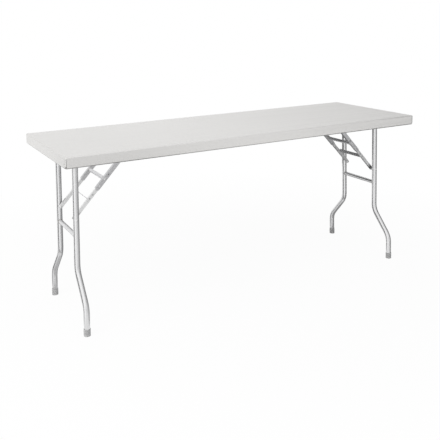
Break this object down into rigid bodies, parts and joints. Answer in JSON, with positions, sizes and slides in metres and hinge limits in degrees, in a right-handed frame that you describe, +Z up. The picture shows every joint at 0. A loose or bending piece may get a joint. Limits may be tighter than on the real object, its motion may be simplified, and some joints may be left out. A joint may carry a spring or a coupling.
{
  "type": "folding table",
  "caption": "Folding work table: a folded sheet tray top on bent tube leg frames that swing flat under it, each held open by jointed channel braces.",
  "frame": {"origin": "on the floor at the middle of the table, level with the soles of the feet", "axes": "+X along the length, +Y across the depth to the rear, +Z up"},
  "size_m": [1.83, 0.61, 0.78],
  "materials": {
    "tray_sheet": "brushed along the length",
    "rail_sheet": "mill, matt",
    "leg_tube": "satin ground",
    "brace_channel": "pressed and zinc plated",
    "plated_steel": "zinc plated",
    "fastener_steel": "bright, domed heads",
    "foot_plastic": "moulded, matt"
  },
  "bodies": {
    "tabletop": {"top_tray": "tray_sheet", "stiffener_front": "rail_sheet", "stiffener_rear": "rail_sheet", "pivot_rail_left": "rail_sheet", "brace_rail_left": "rail_sheet", "pivot_clip_front_left": "plated_steel", "brace_bracket_front_left": "plated_steel", "pivot_clip_rear_left": "plated_steel", "brace_bracket_rear_left": "plated_steel", "clip_rivets_left": "fastener_steel", "bracket_rivets_left": "fastener_steel", "bracket_pivots_left": "fastener_steel", "pivot_rail_right": "rail_sheet", "brace_rail_right": "rail_sheet", "pivot_clip_front_right": "plated_steel", "brace_bracket_front_right": "plated_steel", "pivot_clip_rear_right": "plated_steel", "brace_bracket_rear_right": "plated_steel", "clip_rivets_right": "fastener_steel", "bracket_rivets_right": "fastener_steel", "bracket_pivots_right": "fastener_steel"},
    "leg_frame_left": {"pivot_tube_left": "leg_tube", "leg_crossbar_left": "leg_tube", "leg_front_left": "leg_tube", "foot_cap_front_left": "foot_plastic", "leg_rear_left": "leg_tube", "foot_cap_rear_left": "foot_plastic", "brace_bolts_left": "fastener_steel", "brace_bosses_left": "plated_steel"},
    "upper_brace_left": {"upper_link_front_left": "brace_channel", "upper_link_rear_left": "brace_channel", "upper_tie_bar_left": "leg_tube", "mid_rivets_left": "fastener_steel"},
    "lower_brace_left": {"lower_link_front_left": "brace_channel", "lower_link_rear_left": "brace_channel", "lower_tie_strip_left": "plated_steel", "leg_end_rivets_left": "fastener_steel"},
    "leg_frame_right": {"pivot_tube_right": "leg_tube", "leg_crossbar_right": "leg_tube", "leg_front_right": "leg_tube", "foot_cap_front_right": "foot_plastic", "leg_rear_right": "leg_tube", "foot_cap_rear_right": "foot_plastic", "brace_bolts_right": "fastener_steel", "brace_bosses_right": "plated_steel"},
    "upper_brace_right": {"upper_link_front_right": "brace_channel", "upper_link_rear_right": "brace_channel", "upper_tie_bar_right": "leg_tube", "mid_rivets_right": "fastener_steel"},
    "lower_brace_right": {"lower_link_front_right": "brace_channel", "lower_link_rear_right": "brace_channel", "lower_tie_strip_right": "plated_steel", "leg_end_rivets_right": "fastener_steel"}
  },
  "joints": [
    {"name": "leg_fold_left", "type": "hinge", "parent": "tabletop", "child": "leg_frame_left", "pos_m": [-0.8207, 0, 0.7528], "axis": [0, -1, 0], "range_deg": [0, 91.5]},
    {"name": "brace_swing_left", "type": "hinge", "parent": "tabletop", "child": "upper_brace_left", "pos_m": [-0.5647, 0, 0.7528], "axis": [0, -1, 0], "range_deg": [-47.14, 0]},
    {"name": "brace_knee_left", "type": "hinge", "parent": "upper_brace_left", "child": "lower_brace_left", "pos_m": [-0.68689, 0, 0.62111], "axis": [0, -1, 0], "range_deg": [0, 180]},
    {"name": "leg_fold_right", "type": "hinge", "parent": "tabletop", "child": "leg_frame_right", "pos_m": [0.8207, 0, 0.7528], "axis": [0, 1, 0], "range_deg": [0, 91.5]},
    {"name": "brace_swing_right", "type": "hinge", "parent": "tabletop", "child": "upper_brace_right", "pos_m": [0.5647, 0, 0.7528], "axis": [0, 1, 0], "range_deg": [-47.14, 0]},
    {"name": "brace_knee_right", "type": "hinge", "parent": "upper_brace_right", "child": "lower_brace_right", "pos_m": [0.68689, 0, 0.62111], "axis": [0, 1, 0], "range_deg": [0, 180]}
  ],
  "couplings": [
    {"joint": "brace_swing_left", "follows": "leg_fold_left", "ratio": -0.51521},
    {"joint": "brace_knee_left", "follows": "leg_fold_left", "ratio": 1.9672},
    {"joint": "brace_swing_right", "follows": "leg_fold_right", "ratio": -0.51521},
    {"joint": "brace_knee_right", "follows": "leg_fold_right", "ratio": 1.9672}
  ]
}
